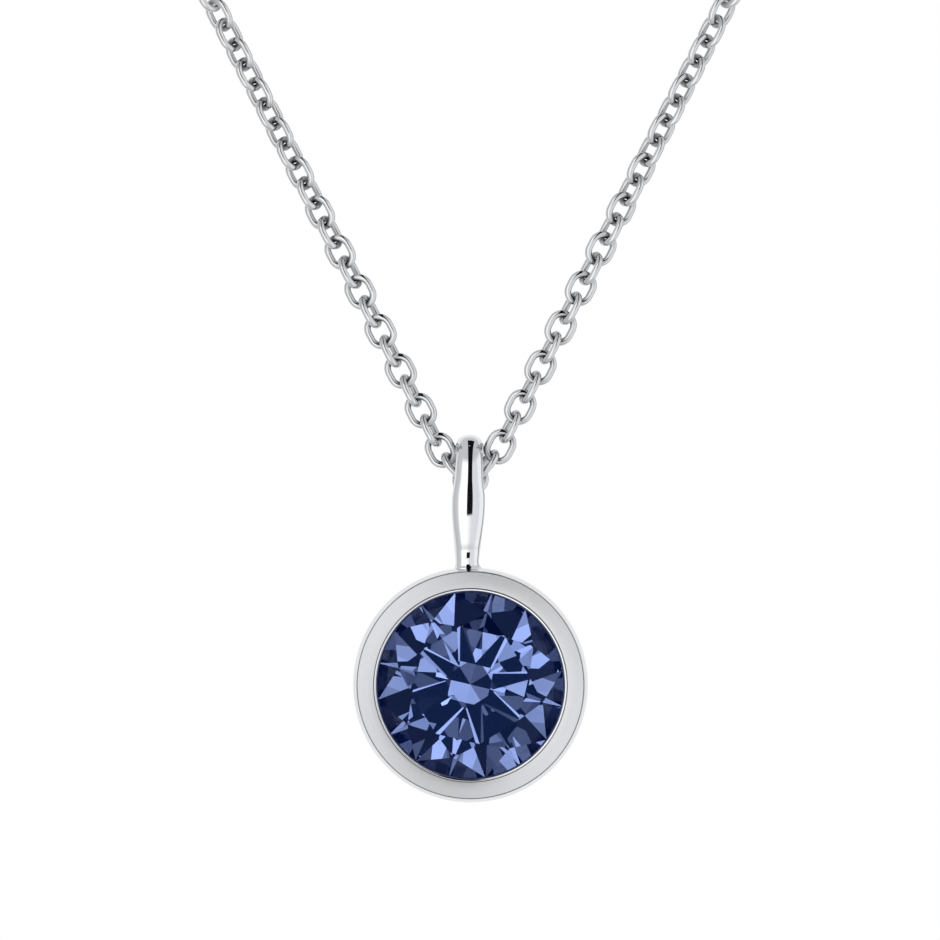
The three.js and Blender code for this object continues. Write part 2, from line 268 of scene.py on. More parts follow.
def metal(name, base, rough, spread, grain=2600.0, bump=0.02, dull=0.0, crevice_shade=0.0):
    """Polished white gold: roughness wanders a little, with faint polishing waves and a tone that drifts. Where asked,
    painted shade darkens the colour in crevices and where parts touch.
    """
    m = bpy.data.materials.new(name)
    m.use_nodes = True
    g = Graph(m.node_tree)
    out = g.node("ShaderNodeOutputMaterial")
    p = g.node("ShaderNodeBsdfPrincipled")
    g.link(p.outputs[0], out.inputs[0])
    at = g.node("ShaderNodeTexCoord").outputs["Object"]
    p.inputs["Metallic"].default_value = 1.0
    tone = g.noise(at, 420.0, 2.0)
    light = rgb(*base)
    dark = rgb(*(c * (0.955 - dull) for c in base))
    colour = g.mix(g.remap(tone, 0.35, 0.65, 0.0, 1.0), dark, light)
    if crevice_shade:
        # painted shade: the colour darkens where ambient occlusion finds other parts close by, in crevices and where
        # links touch
        ao_shade = g.node("ShaderNodeAmbientOcclusion", samples=12, only_local=False)
        ao_shade.inputs["Distance"].default_value = 0.00045
        deep = g.remap(ao_shade.outputs["AO"], 0.35, 0.95, crevice_shade, 0.0)
        colour = g.mix(deep, colour, rgb(*(c * 0.16 for c in base)))
    g.link(colour, p.inputs["Base Color"])
    worn = g.noise(at, grain, 4.0, 0.6)
    g.link(g.remap(worn, 0.3, 0.7, rough - spread, rough + spread), p.inputs["Roughness"])
    waves = g.noise(at, 900.0, 2.0)
    b = g.node("ShaderNodeBump")
    b.inputs["Strength"].default_value = bump
    b.inputs["Distance"].default_value = 0.00004
    g.link(waves, b.inputs["Height"])
    g.link(b.outputs[0], p.inputs["Normal"])
    return m


GOLD = (0.925, 0.93, 0.94)
mat_bail = metal("white_gold_bail", GOLD, 0.045, 0.015, bump=0.015)
mat_cup = metal("white_gold_cup", GOLD, 0.06, 0.02, bump=0.02)
CHAIN_GOLD = (0.80, 0.805, 0.81)
# both chain materials carry painted shade in their crevices
mat_link = metal("white_gold_chain", CHAIN_GOLD, 0.06, 0.012, grain=5200.0, bump=0.01, crevice_shade=0.95)
mat_far_link = metal("white_gold_chain_wound", CHAIN_GOLD, 0.08, 0.03, grain=5200.0, bump=0.01, crevice_shade=0.9)
mat_clasp = metal("white_gold_clasp", GOLD, 0.08, 0.03, grain=3600.0, bump=0.03)
mat_spring = metal("spring_steel", (0.72, 0.73, 0.75), 0.18, 0.05, dull=0.1)
# dark metal for the fine grooves and the lip's inner edge: painted shade
mat_groove_shade = metal("painted_groove_shade", (0.2, 0.2, 0.22), 0.3, 0.06)
mat_inner = metal("cup_inside", (0.72, 0.73, 0.75), 0.22, 0.06, dull=0.06)


def face_material():
    """The cup's face: turned on a lathe and left satin, so fine rings run round it and spread the gloss across them."""
    m = bpy.data.materials.new("satin_face")
    m.use_nodes = True
    g = Graph(m.node_tree)
    out = g.node("ShaderNodeOutputMaterial")
    p = g.node("ShaderNodeBsdfPrincipled")
    g.link(p.outputs[0], out.inputs[0])
    at = g.node("ShaderNodeTexCoord").outputs["Object"]
    xyz = g.node("ShaderNodeSeparateXYZ")
    g.link(at, xyz.inputs[0])
    x = g.math("SUBTRACT", xyz.outputs[0], AXIS_X * MM)
    z = g.math("SUBTRACT", xyz.outputs[2], STONE_Z * MM)
    radius = g.math("SQRT", g.math("ADD", g.math("MULTIPLY", x, x), g.math("MULTIPLY", z, z)))
    turn = g.math("ARCTAN2", z, x)
    ring = g.node("ShaderNodeCombineXYZ")
    g.link(g.math("MULTIPLY", radius, 60000.0), ring.inputs[0])
    g.link(g.math("MULTIPLY", turn, 1.2), ring.inputs[1])
    lines = g.noise(ring.outputs[0], 1.0, 2.0)
    p.inputs["Metallic"].default_value = 1.0
    p.inputs["Anisotropic"].default_value = 0.75
    p.inputs["Anisotropic Rotation"].default_value = 0.25
    g.link(g.mix(g.remap(lines, 0.3, 0.7, 0.0, 1.0), rgb(0.86, 0.87, 0.89), rgb(0.93, 0.935, 0.945)), p.inputs["Base Color"])
    g.link(g.remap(lines, 0.3, 0.7, 0.30, 0.36), p.inputs["Roughness"])
    tangent = g.node("ShaderNodeTangent", direction_type="RADIAL", axis="Y")
    g.link(tangent.outputs[0], p.inputs["Tangent"])
    b = g.node("ShaderNodeBump")
    b.inputs["Strength"].default_value = 0.05
    b.inputs["Distance"].default_value = 0.00001
    g.link(lines, b.inputs["Height"])
    g.link(b.outputs[0], p.inputs["Normal"])
    return m


def stone_material():
    m = bpy.data.materials.new("violet_blue_stone")
    m.use_nodes = True
    g = Graph(m.node_tree)
    out = g.node("ShaderNodeOutputMaterial")
    p = g.node("ShaderNodeBsdfPrincipled")
    g.link(p.outputs[0], out.inputs[0])
    at = g.node("ShaderNodeTexCoord").outputs["Object"]
    zone = g.noise(at, 300.0, 2.0)
    g.link(g.mix(g.remap(zone, 0.35, 0.65, 0.0, 1.0), rgb(0.80, 0.84, 0.97), rgb(0.88, 0.90, 0.99)), p.inputs["Base Color"])
    g.link(g.remap(g.noise(at, 2500.0, 2.0), 0.3, 0.7, 0.0, 0.006), p.inputs["Roughness"])
    p.inputs["IOR"].default_value = 1.70
    p.inputs["Transmission Weight"].default_value = 1.0
    p.inputs["Specular Tint"].default_value = rgb(0.07, 0.15, 0.40)
    v = g.node("ShaderNodeVolumeAbsorption")
    v.inputs["Color"].default_value = rgb(0.08, 0.27, 0.70)
    v.inputs["Density"].default_value = 142.0
    g.link(v.outputs[0], out.inputs[1])
    return m


mat_face = face_material()
mat_stone = stone_material()


def finish_piece(o, material, body, replaces=()):
    materials = material if isinstance(material, (list, tuple)) else [material]
    if not o.data.materials:
        for m in materials:
            o.data.materials.append(m)
    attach(o, body)
    if replaces:
        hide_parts(*replaces)
    return o


# --------------------------------------------------------------------- the chain
def link_mesh(arc_steps, sides):
    """One link: long along its own Y, flat in its own XY."""
    r, straight = (LINK_W - WIRE_D) / 2, (LINK_L - LINK_W) / 2
    o, u = [], []
    for side, start in ((1, 0.0), (-1, math.pi)):
        for i in range(arc_steps + 1):
            a = start + math.pi * i / arc_steps
            o.append((r * math.cos(a), r * math.sin(a) + side * straight, 0))
            u.append((math.cos(a), math.sin(a), 0))
    v = [(0, 0, -1)] * len(o)
    return sweep(o, u, v, circle(WIRE_D / 2, sides), True)


def link_axes(along, roll):
    y = unit(along)
    flat = np.array([0.0, 1.0, 0.0])
    flat = unit(flat - y * y[1])
    across = np.cross(y, flat)
    n = math.cos(roll) * flat + math.sin(roll) * across
    return np.stack([np.cross(y, n), y, n], axis=1)  # columns


def placed(base, centre, along, roll):
    p, f = base
    return p @ link_axes(along, roll).T + centre, f


def link_roll(i, side):
    f = min(max((i - 4) / 15, 0), 1)
    f = f * f * (3 - 2 * f)
    return side * (45 * f if i % 2 else 27 * f - 72) * DEG


END_REACH = (LINK_L - WIRE_D) / 2


def strand_dir(side):
    return np.array([side * math.sin(V_ANGLE), 0, math.cos(V_ANGLE)])


def strand_point(side, i):
    s = (i - 1) * PITCH
    return np.array(
        [
            side * (FACE_LINK_X + s * math.sin(V_ANGLE)),
            0,
            STONE_Z + FACE_LINK_Z + side * SIDE_SHIFT + s * math.cos(V_ANGLE),
        ]
    )


def route(side):
    """The chain's centre from single link 22 to the middle of the ring it ends on, and where it leaves the V."""
    start = strand_point(side, LEVELS - 1)
    leave = np.array([side * COIL_R * math.cos(V_ANGLE), 0, -COIL_R * math.sin(V_ANGLE)])
    lead = LINK_L / 2 + 0.3
    first = start + strand_dir(side) * lead
    total = np.linalg.norm(leave - first)
    sideways = side * COIL_PITCH * HALF_TURNS
    points = [start]
    for f in np.linspace(0, 1, 34):
        p = first + (leave - first) * f
        p[1] = sideways * f * f * (3 - 2 * f)
        points.append(p)
    # the winding, which lifts off the bar where the clasp lies on it
    end_x = 3.75 if side > 0 else 5.11
    end_angle = math.atan2(CLASP_Z, end_x)
    end_r = math.hypot(CLASP_Z, end_x)
    turn_end = V_ANGLE + 2 * math.pi + end_angle
    count = 150
    for phi in np.linspace(0, turn_end, count)[1:]:
        a = phi - V_ANGLE
        rise = min(max((phi - (turn_end - 32 * DEG)) / (32 * DEG), 0), 1)
        r = COIL_R + (end_r - COIL_R) * rise * rise * (3 - 2 * rise) * 0.5 + (
            end_r - COIL_R
        ) * rise * rise * 0.5
        y = side * COIL_PITCH * (HALF_TURNS - phi / (2 * math.pi))
        points.append(np.array([side * r * math.cos(a), y, r * math.sin(a)]))
    p = np.array(points)
    p[-1, 1] = 0
    along = np.concatenate([[0], np.cumsum(np.linalg.norm(np.diff(p, axis=0), axis=1))])
    return p, along


def along_route(p, along, s):
    return np.array([np.interp(s, along, p[:, k]) for k in range(3)])


coil_link = link_mesh(9, 9)
cords = {}
for side, tag in ((-1, "left"), (1, "right")):
    path, along = route(side)
    count = round(along[-1] / PITCH)
    pitch = along[-1] / count
    parts = []
    for i in range(1, count + 1):
        s = pitch * i
        c = along_route(path, along, s)
        d = along_route(path, along, min(s + 0.3, along[-1])) - along_route(path, along, s - 0.3)
        number = LEVELS - 1 + i
        parts.append(placed(coil_link, c, d, side * (45 if number % 2 else -45) * DEG))
    p, f = joined(parts)
    o = new_object("chain_" + tag, p, f)
    finish_piece(
        o,
        mat_far_link,
        "root",
        ("strand_left", "chain_coil") if side < 0 else ("strand_right", "chain_coil"),
    )
    o.visible_glossy = False
    cords[tag] = (o, path * MM, along[-1] * MM)

near_link = link_mesh(22, 18)
# the link inside the bail, and the two that lean in to its ends: each pulls in
# line with the centres of the two bends that it joins
BEND_R, BEND_AT = (LINK_W - WIRE_D) / 2, (LINK_L - LINK_W) / 2
bends = {}
for side in (-1, 1):
    b1 = strand_point(side, 1) - strand_dir(side) * BEND_AT
    span = PITCH * 2 - 2 * END_REACH + 2 * BEND_R
    dx = abs(b1[0]) - BEND_AT
    bends[side] = (b1, b1[2] - math.sqrt(span * span - dx * dx))
centre_z = (bends[-1][1] + bends[1][1]) / 2
lean = math.atan2(bends[1][1] - bends[-1][1], 2 * BEND_AT + 2 * BEND_R)
o = new_object("link_in_bail", *placed(near_link, np.array([0, 0, centre_z]), (math.cos(lean), 0, math.sin(lean)), 0))
finish_piece(o, mat_link, "centre", ("link_centre",))
for side, tag in ((-1, "l"), (1, "r")):
    for i in range(LEVELS):
        if i:
            c, d = strand_point(side, i), strand_dir(side)
        else:
            e = np.array([side * BEND_AT * math.cos(lean), 0, centre_z + side * BEND_AT * math.sin(lean)])
            c, d = (bends[side][0] + e) / 2, bends[side][0] - e
        o = new_object(f"chain_link_{tag}_{i:02d}", *placed(near_link, c, d, link_roll(i, side)))
        finish_piece(o, mat_link, f"level_{i:02d}", (f"link_{tag}_{i:02d}",))

# ---------------------------------------------------------------------- the clasp
CLASP_AT = np.array([0, 0, CLASP_Z])


def c_section(open_half, n):
    """The tube's wall, round or slit open on top by that half angle. The section's second axis points down."""
    if open_half is None:
        return None
    t = np.linspace(-math.pi / 2 + open_half, 1.5 * math.pi - open_half, n)
    outer = np.stack([TUBE_R * np.cos(t), TUBE_R * np.sin(t)], axis=1)
    inner = np.stack([BORE_R * np.cos(t[::-1]), BORE_R * np.sin(t[::-1])], axis=1)
    return np.concatenate([outer, inner])


def wall(a0, a1, steps, slit):
    o, u, v = arc_stations(CLASP_R, a0, a1, steps)
    s = c_section(max(slit, 0.5 * DEG), 40)
    return sweep(o, u, v, s, False)


tube = [
    wall(GAP_HALF, 34 * DEG, 6, 0),
    wall(34 * DEG, 112 * DEG, 40, math.asin(0.24 / TUBE_R)),
    wall(112 * DEG, 2 * math.pi - GAP_HALF, 110, 0),
]
# rolled lips at the mouth, and the eye with its root
for a in (GAP_HALF, 2 * math.pi - GAP_HALF):
    ring_o, ring_u, ring_v = arc_stations(TUBE_R - 0.08, 0, 2 * math.pi, 36, True)
    p, f = sweep(ring_o, ring_u, ring_v, circle(0.08, 10), True)
    # stand it square to the tube's line
    c, s = math.cos(a), math.sin(a)
    radial, up, tangent = np.array([c, s, 0]), np.array([0, 0, 1.0]), np.array([-s, c, 0])
    back = 0.05 if a < math.pi else -0.05
    p = p[:, 0:1] * radial + p[:, 1:2] * up + p[:, 2:3] * tangent
    tube.append((p + radial * CLASP_R + tangent * back, f))
eye_o, eye_u, eye_v = arc_stations(0.62, 0, 2 * math.pi, 48, True)
p, f = sweep(eye_o, eye_u, eye_v, circle(0.2, 16), True)
tube.append((p + np.array([-(CLASP_R + 1.05), 0, 0]), f))
p, f = joined(tube)
o = new_object("clasp_body", p + CLASP_AT, f, sharp=35)
facing_out(o)
finish_piece(o, mat_clasp, "root", ("clasp_tube",))
clasp_body = o

rod_o, rod_u, rod_v = arc_stations(CLASP_R, -33 * DEG, 75 * DEG, 54)
taper = np.ones(len(rod_o))
taper[:6] = np.sin(np.linspace(0.25, 1, 6) * math.pi / 2)
rod = sweep(rod_o, rod_u, rod_v, circle(BOLT_R, 24)[None] * taper[:, None, None], False)
ka = 46 * DEG
knob_profile = [
    (0.0, 0.1), (0.2, 0.1), (0.2, 0.52), (0.215, 0.58), (0.23, 0.66),
    (0.22, 0.76), (0.17, 0.82), (0.09, 0.845), (0.0, 0.85),
]
kn = 28
kp = []
for r, h in knob_profile:
    for k in range(kn):
        t = 2 * math.pi * k / kn
        kp.append((CLASP_R * math.cos(ka) + r * math.cos(t), CLASP_R * math.sin(ka) + r * math.sin(t), h))
knob = (np.array(kp), quads(len(knob_profile), kn, False).tolist())
p, f = joined([rod, knob])
o = new_object("clasp_bolt_and_knob", p + CLASP_AT, f, sharp=40)
facing_out(o)
finish_piece(o, mat_clasp, "clasp_bolt", ("clasp_bolt",))
clasp_bolt = o

n = 220
frac = np.arange(n + 1) / n
ang, ph = (78 + 86 * frac) * DEG, 2 * math.pi * 6 * frac
radial = np.stack([np.cos(ang), np.sin(ang), np.zeros(n + 1)], axis=1)
up = np.array([0, 0, 1.0])
so = radial * (CLASP_R + 0.26 * np.cos(ph))[:, None] + up * (0.26 * np.sin(ph))[:, None]
tangent = np.gradient(so, axis=0)
tangent /= np.linalg.norm(tangent, axis=1)[:, None]
outward = radial * np.cos(ph)[:, None] + up * np.sin(ph)[:, None]
sv = np.cross(tangent, outward)
sv /= np.linalg.norm(sv, axis=1)[:, None]
su = np.cross(sv, tangent)
p, f = sweep(so, su, sv, circle(0.06, 10), False)
o = new_object("clasp_return_spring", p + CLASP_AT, f, sharp=50)
facing_out(o)
finish_piece(o, mat_spring, "root", ("clasp_spring",))
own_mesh(o)
clasp_spring = o

ring_o, ring_u, ring_v = arc_stations(0.75, 0, 2 * math.pi, 56, True)
p, f = sweep(ring_o, ring_u, ring_v, circle(0.13, 16), True)
turned = np.stack([p[:, 0], -p[:, 2], p[:, 1]], axis=1)
o = new_object("jump_ring_left", turned + CLASP_AT + np.array([-4.0, 0, 0]), f)
finish_piece(o, mat_clasp, "jump_ring", ("jump_ring",))
jump_ring = o
ring_o, ring_u, ring_v = arc_stations(0.9, 0, 2 * math.pi, 60, True)
p, f = sweep(ring_o, ring_u, ring_v, circle(0.14, 16), True)
t = (90 - 35) * DEG
turned = np.stack(
    [p[:, 0], p[:, 1] * math.cos(t) - p[:, 2] * math.sin(t), p[:, 1] * math.sin(t) + p[:, 2] * math.cos(t)],
    axis=1,
)
o = new_object("end_ring_right", turned + CLASP_AT + np.array([2.5, 0, 0]), f)
finish_piece(o, mat_clasp, "end_ring", ("end_ring",))
end_ring = o

for tag, side, pieces in (
    ("left", -1, [jump_ring, clasp_body, clasp_bolt, clasp_spring]),
    ("right", 1, [end_ring]),
):
    o, path, length = cords[tag]

# ------------------------------------------------------------------ the bezel cup
def rounded(points):
    """Joins straight runs and quarter rounds given as (r, y) or ("arc", centre r, centre y, radius, from, to, steps)."""
    out = []
    for q in points:
        if q[0] == "arc":
            _, cr, cy, rad, a0, a1, k = q
            for i in range(k + 1):
                a = (a0 + (a1 - a0) * i / k) * DEG
                out.append((cr + rad * math.cos(a), cy + rad * math.sin(a)))
        else:
            out.append(q)
    return out


F = FACE_Y
SEAT = GIRDLE_Y + GIRDLE_T + 0.3
EDGE = 4.835  # outer edge of the satin face
profile = rounded(
    [
        (3.962, F + 0.31),
        (3.966, F + 0.27),
        (3.992, F + 0.25),
        # rounded lip round the stone
        ("arc", 4.096, F + 0.125, 0.10, 184, 278, 12),
        # fine groove between lip and face, painted dark as painted shade
        (4.116, F + 0.05),
        (4.150, F + 0.05),
        (4.156, F + 0.006),
        (4.20, F + 0.002),
        (4.40, F + 0.0),
        (4.62, F + 0.0),
        (EDGE - 0.01, F + 0.004),
        # fine groove at the outer edge, painted dark the same way as painted shade
        (EDGE, F + 0.026),
        (EDGE + 0.018, F + 0.026),
        (EDGE + 0.024, F + 0.03),
        # steep polished bevel
        (4.871, F + 0.045),
        (4.893, F + 0.12),
        (4.92, F + 0.22),
        (4.946, F + 0.32),
        (4.97, F + 0.41),
        (4.988, F + 0.49),
        (BEZEL_R - 0.016, F + 0.58),
        (BEZEL_R - 0.006, F + 0.7),
        (BEZEL_R, F + 0.85),
        (BEZEL_R, F + 1.1),
        (BEZEL_R - 0.022, F + 1.6),
        (BEZEL_R - 0.06, F + 2.1),
        (BEZEL_R - 0.12, F + 2.6),
        (BEZEL_R - 0.21, F + 3.2),
        (BEZEL_R - 0.32, F + 3.75),
        (4.63, BACK_Y - 0.32),
        ("arc", 4.44, BACK_Y - 0.2, 0.2, 10, 90, 8),
        (4.1, BACK_Y),
        (3.7, BACK_Y),
        ("arc", 3.37, BACK_Y - 0.12, 0.12, 90, 180, 6),
        (3.25, BACK_Y - 0.6),
        (3.25, SEAT + 0.75),
        (3.6, SEAT + 0.43),
        (4.06, SEAT),
        (4.06, GIRDLE_Y + 0.2),
        (4.06, GIRDLE_Y - 0.1),
        (4.0, F + 0.34),
    ]
)
SEGMENTS = 288
p, f = lathe_y(profile, SEGMENTS, (AXIS_X, 0, STONE_Z))
cup = new_object("bezel", p, f, sharp=28)
facing_out(cup)
for m in (mat_cup, mat_face, mat_groove_shade, mat_inner):
    cup.data.materials.append(m)
# faces in the fine grooves and on the lip's inner edge take the dark metal, painted shade
for poly in cup.data.polygons:
    c = poly.center
    r = math.hypot(c.x / MM - AXIS_X, c.z / MM - STONE_Z)
    y = c.y / MM
    if y < F + 0.055 and 4.113 < r < 4.155:
        poly.material_index = 2
    elif F + 0.24 < y < F + 0.3 and r < 3.993:
        poly.material_index = 2
    elif y < F + 0.02 and 4.155 < r < EDGE - 0.006:
        poly.material_index = 1
    elif y < F + 0.04 and EDGE - 0.006 < r < EDGE + 0.025:
        poly.material_index = 2
    elif r < 4.08 and y > F + 0.33:
        poly.material_index = 3
finish_piece(cup, [], "pendant", ("bezel_cup",))

# ----------------------------------------------------------------------- the bail
def bail_mesh():
    steps, n = 240, 64
    top, foot = (BAIL_TOP + BAIL_INNER_TOP) / 2, (BAIL_FOOT + BAIL_INNER_FOOT) / 2
    mid, half = (top + foot) / 2, (top - foot) / 2
    t = 2 * math.pi * np.arange(steps) / steps

    def at(t):
        # long-sided, and deepest a little below its middle
        y = BAIL_HALF_DEPTH * (1 - 0.0612 * np.cos(t) + 0.1748 * np.cos(2 * t)) * np.sin(t)
        return np.stack([np.zeros_like(t), y, mid + half * np.cos(t)], axis=1)

    o = at(t)
    tan = at(t + 1e-4) - at(t - 1e-4)
    tan /= np.linalg.norm(tan, axis=1)[:, None]
    v = np.tile([1.0, 0, 0], (steps, 1))
    u = np.cross(v, tan)
    # width by height, eased between the listed heights
    zs = np.linspace(4.0, 12.0, 1601)
    ws = np.interp(zs, *zip(*BAIL_WIDTHS))
    kernel = np.hanning(61)
    ws = np.convolve(np.pad(ws, 30, "edge"), kernel / kernel.sum(), "valid")
    width = np.interp(o[:, 2], zs, ws)
    ends = np.abs(np.cos(t)) ** 3
    thick = BAIL_LIMB + (BAIL_TOP - BAIL_INNER_TOP - BAIL_LIMB) * ends
    a = 2 * math.pi * np.arange(n) / n
    c, s = np.cos(a), np.sin(a)
    # outside: a rounded bar; inside: flatter, with soft corners
    eo, ei = 2 / 2.15, 2 / 3.4
    cx = np.where(c > 0, np.abs(c) ** eo, -(np.abs(c) ** ei))
    sx = np.sign(s) * np.where(c > 0, np.abs(s) ** eo, np.abs(s) ** ei)
    section = np.stack(
        [cx[None] * thick[:, None] / 2, sx[None] * width[:, None] / 2], axis=-1
    )
    return sweep(o, u, v, section, True)


def leaned(p):
    """The bail stands a touch out of true on the cup."""
    c, s = math.cos(BAIL_LEAN), math.sin(BAIL_LEAN)
    x, y, z = p[:, 0], p[:, 1], p[:, 2]
    return np.stack([x * c + z * s + BAIL_X + AXIS_X, y, -x * s + z * c + STONE_Z], axis=1)


FOOT_X = -0.146  # centre of the foot, from the cup's axis


def bail_outline(z):
    """Half the bail's depth over its outside, by height, below its middle."""
    t = np.linspace(math.pi / 2, math.pi, 400)
    top, foot = (BAIL_TOP + BAIL_INNER_TOP) / 2, (BAIL_FOOT + BAIL_INNER_FOOT) / 2
    mid, half = (top + foot) / 2, (top - foot) / 2
    y = BAIL_HALF_DEPTH * (1 - 0.0612 * np.cos(t) + 0.1748 * np.cos(2 * t)) * np.sin(t)
    h = mid + half * np.cos(t)
    dy, dh = np.gradient(y), np.gradient(h)
    size = np.hypot(dy, dh)
    thick = BAIL_LIMB + (BAIL_TOP - BAIL_INNER_TOP - BAIL_LIMB) * np.abs(np.cos(t)) ** 3
    yo, ho = y - dh / size * thick / 2, h + dy / size * thick / 2
    order = np.argsort(ho)
    return float(np.interp(z, ho[order], yo[order]))


def foot_mesh():
    """The foot: a short column from the cup's wall up into the limbs, flaring out a little where it is soldered on."""
    n, rows = 160, 44
    lean = math.tan(BAIL_LEAN)
    pts = []
    for j in range(rows + 1):
        s_ = j / rows
        for i in range(n):
            a = 2 * math.pi * i / n
            c, s = math.cos(a), math.sin(a)
            y0 = 1.5 * np.sign(s) * abs(s) ** 0.9
            top = 5.97 + 0.45 * (min(abs(y0), 1.1) / 1.1) ** 3
            x0 = 0.5 * c + FOOT_X
            base = math.sqrt(max((BEZEL_R - 0.004) ** 2 - x0 * x0, 0)) - 0.05
            z = base + (top - base) * s_
            h = max(z - base - 0.05, 0)
            f = max(1 - h / 0.3, 0) ** 2.3
            ledge = min(max((0.85 - h) / 0.45, 0), 1)
            width = float(np.interp(z, *zip(*BAIL_WIDTHS))) / 2 - 0.004
            ax = width + f * (0.15 if c > 0 else 0.06)
            outer = bail_outline(z) - 0.004
            own = 1.46 + 0.08 * ledge * ledge * (3 - 2 * ledge) + 0.06 * max(1 - h / 0.12, 0) ** 2
            deep = (outer + own + math.sqrt((outer - own) ** 2 + 0.008)) / 2
            if z > 6.3:
                deep = min(deep, outer)
            end = 0.43  # the ends are as round as the limbs
            y = np.sign(s) * (deep - end + end * abs(s) ** (2 / 2.15)) if abs(s) > 1e-6 else 0.0
            x = ax * np.sign(c) * abs(c) ** (2 / 2.15)
            # between the round ends the sides run straight
            if abs(s) < 0.35:
                y = np.sign(s) * (deep - end + end * 0.35 ** (2 / 2.15)) * abs(s) / 0.35
            pts.append((x + FOOT_X + (z - BEZEL_R) * lean + AXIS_X, y, STONE_Z + z))
    faces = quads(rows + 1, n, False).tolist()
    faces.append(list(range(n))[::-1])
    faces.append([rows * n + i for i in range(n)])
    return np.array(pts), faces


p, f = bail_mesh()
p, f = joined([(leaned(p), f), foot_mesh()])
o = new_object("bail_loop", p, f, sharp=60)
facing_out(o)
finish_piece(o, mat_bail, "pendant", ("bail",))


# ---------------------------------------------------------------------- the stone
def brilliant():
    """A round girdle cut by flat facets: table, 8 stars, 8 kites, 16 upper halves, 16 lower halves, 8 mains."""
    bm = bmesh.new()
    R, n = STONE_R, 160
    depth = CROWN_H + GIRDLE_T + PAVILION_D
    rings = []
    for y in (-0.5, depth + 0.5):
        rings.append([bm.verts.new((R * math.cos(2 * math.pi * i / n), y, R * math.sin(2 * math.pi * i / n))) for i in range(n)])
    for i in range(n):
        j = (i + 1) % n
        bm.faces.new((rings[0][i], rings[0][j], rings[1][j], rings[1][i]))
    bm.faces.new(rings[0][::-1])
    bm.faces.new(rings[1])
    bmesh.ops.recalc_face_normals(bm, faces=bm.faces)

    def polar(r, a, y):
        return np.array([r * math.cos(a), y, r * math.sin(a)])

    def cut(a, b, c):
        """Removes what lies beyond the plane through three points."""
        normal = unit(np.cross(b - a, c - a))
        if np.dot(normal, np.array([0, 1.3, 0]) - a) > 0:
            normal = -normal
        geom = bm.verts[:] + bm.edges[:] + bm.faces[:]
        res = bmesh.ops.bisect_plane(bm, geom=geom, dist=1e-6, plane_co=a.tolist(), plane_no=normal.tolist(), clear_outer=True)
        edges = [e for e in res["geom_cut"] if isinstance(e, bmesh.types.BMEdge)]
        if edges:
            bmesh.ops.contextual_create(bm, geom=edges)

    apothem = TABLE_R * math.cos(22.5 * DEG)
    rm = apothem + STAR_SHARE * (R - apothem)
    hm = CROWN_H * (R - rm * math.cos(22.5 * DEG)) / (R - TABLE_R)
    rn = (1 - LOWER_HALF) * R
    yg = CROWN_H + GIRDLE_T
    dn = PAVILION_D * (1 - rn * math.cos(22.5 * DEG) / R)
    up = np.array([0, 1.0, 0])
    cut(np.array([0, 0, 0.0]), np.array([1.0, 0, 0]), np.array([0, 0, 1.0]))
    for i in range(8):
        a = i * 45 * DEG + STONE_TURN
        h = a + 22.5 * DEG
        side = np.array([-math.sin(a), 0, math.cos(a)])
        cut(polar(TABLE_R, a, 0), polar(R, a, CROWN_H), polar(R, a, CROWN_H) + side)
        cut(polar(0, a, yg + PAVILION_D), polar(R, a, yg), polar(R, a, yg) + side)
    for i in range(8):
        a = i * 45 * DEG + STONE_TURN
        h, b = a + 22.5 * DEG, a + 45 * DEG
        side = np.array([-math.sin(h), 0, math.cos(h)])
        tip, low = polar(rm, h, CROWN_H - hm), polar(rn, h, yg + dn)
        cut(polar(apothem, h, 0), tip, tip + side)
        for e in (a, b):
            cut(tip, polar(R, e, CROWN_H), polar(R, h, CROWN_H))
            cut(low, polar(R, e, yg), polar(R, h, yg))
    bmesh.ops.remove_doubles(bm, verts=bm.verts, dist=1e-5)
    bmesh.ops.recalc_face_normals(bm, faces=bm.faces)
    bmesh.ops.translate(bm, vec=(AXIS_X, GIRDLE_Y - CROWN_H, STONE_Z), verts=bm.verts)
    bmesh.ops.scale(bm, vec=(MM, MM, MM), verts=bm.verts)
    mesh = bpy.data.meshes.new("stone")
    bm.to_mesh(mesh)
    bm.free()
    for poly in mesh.polygons:
        poly.use_smooth = False
    o = bpy.data.objects.new("stone", mesh)
    bpy.context.scene.collection.objects.link(o)
    return o


o = brilliant()
print("stone faces", len(o.data.polygons))
finish_piece(o, mat_stone, "pendant", ("gemstone",))

# ----------------------------------------------------------------- floor and light
floor_z = cad_lo.z / MM - 22
n = 128
ring = [(500 * math.cos(2 * math.pi * i / n), 500 * math.sin(2 * math.pi * i / n), floor_z) for i in range(n)]
floor = new_object("floor", ring, [list(range(n))], smooth=False)
fm = bpy.data.materials.new("pale_floor")
fm.use_nodes = True
g = Graph(fm.node_tree)
out = g.node("ShaderNodeOutputMaterial")
p = g.node("ShaderNodeBsdfPrincipled")
g.link(p.outputs[0], out.inputs[0])
at = g.node("ShaderNodeTexCoord").outputs["Object"]
g.link(g.mix(g.noise(at, 30.0, 3.0), rgb(0.86, 0.86, 0.87), rgb(0.9, 0.9, 0.905)), p.inputs["Base Color"])
p.inputs["Roughness"].default_value = 0.8
floor.data.materials.append(fm)
floor.visible_glossy = False
floor.visible_transmission = False
bpy.context.scene.cycles.max_bounces = 24
bpy.context.scene.cycles.glossy_bounces = 16
bpy.context.scene.cycles.transmission_bounces = 20


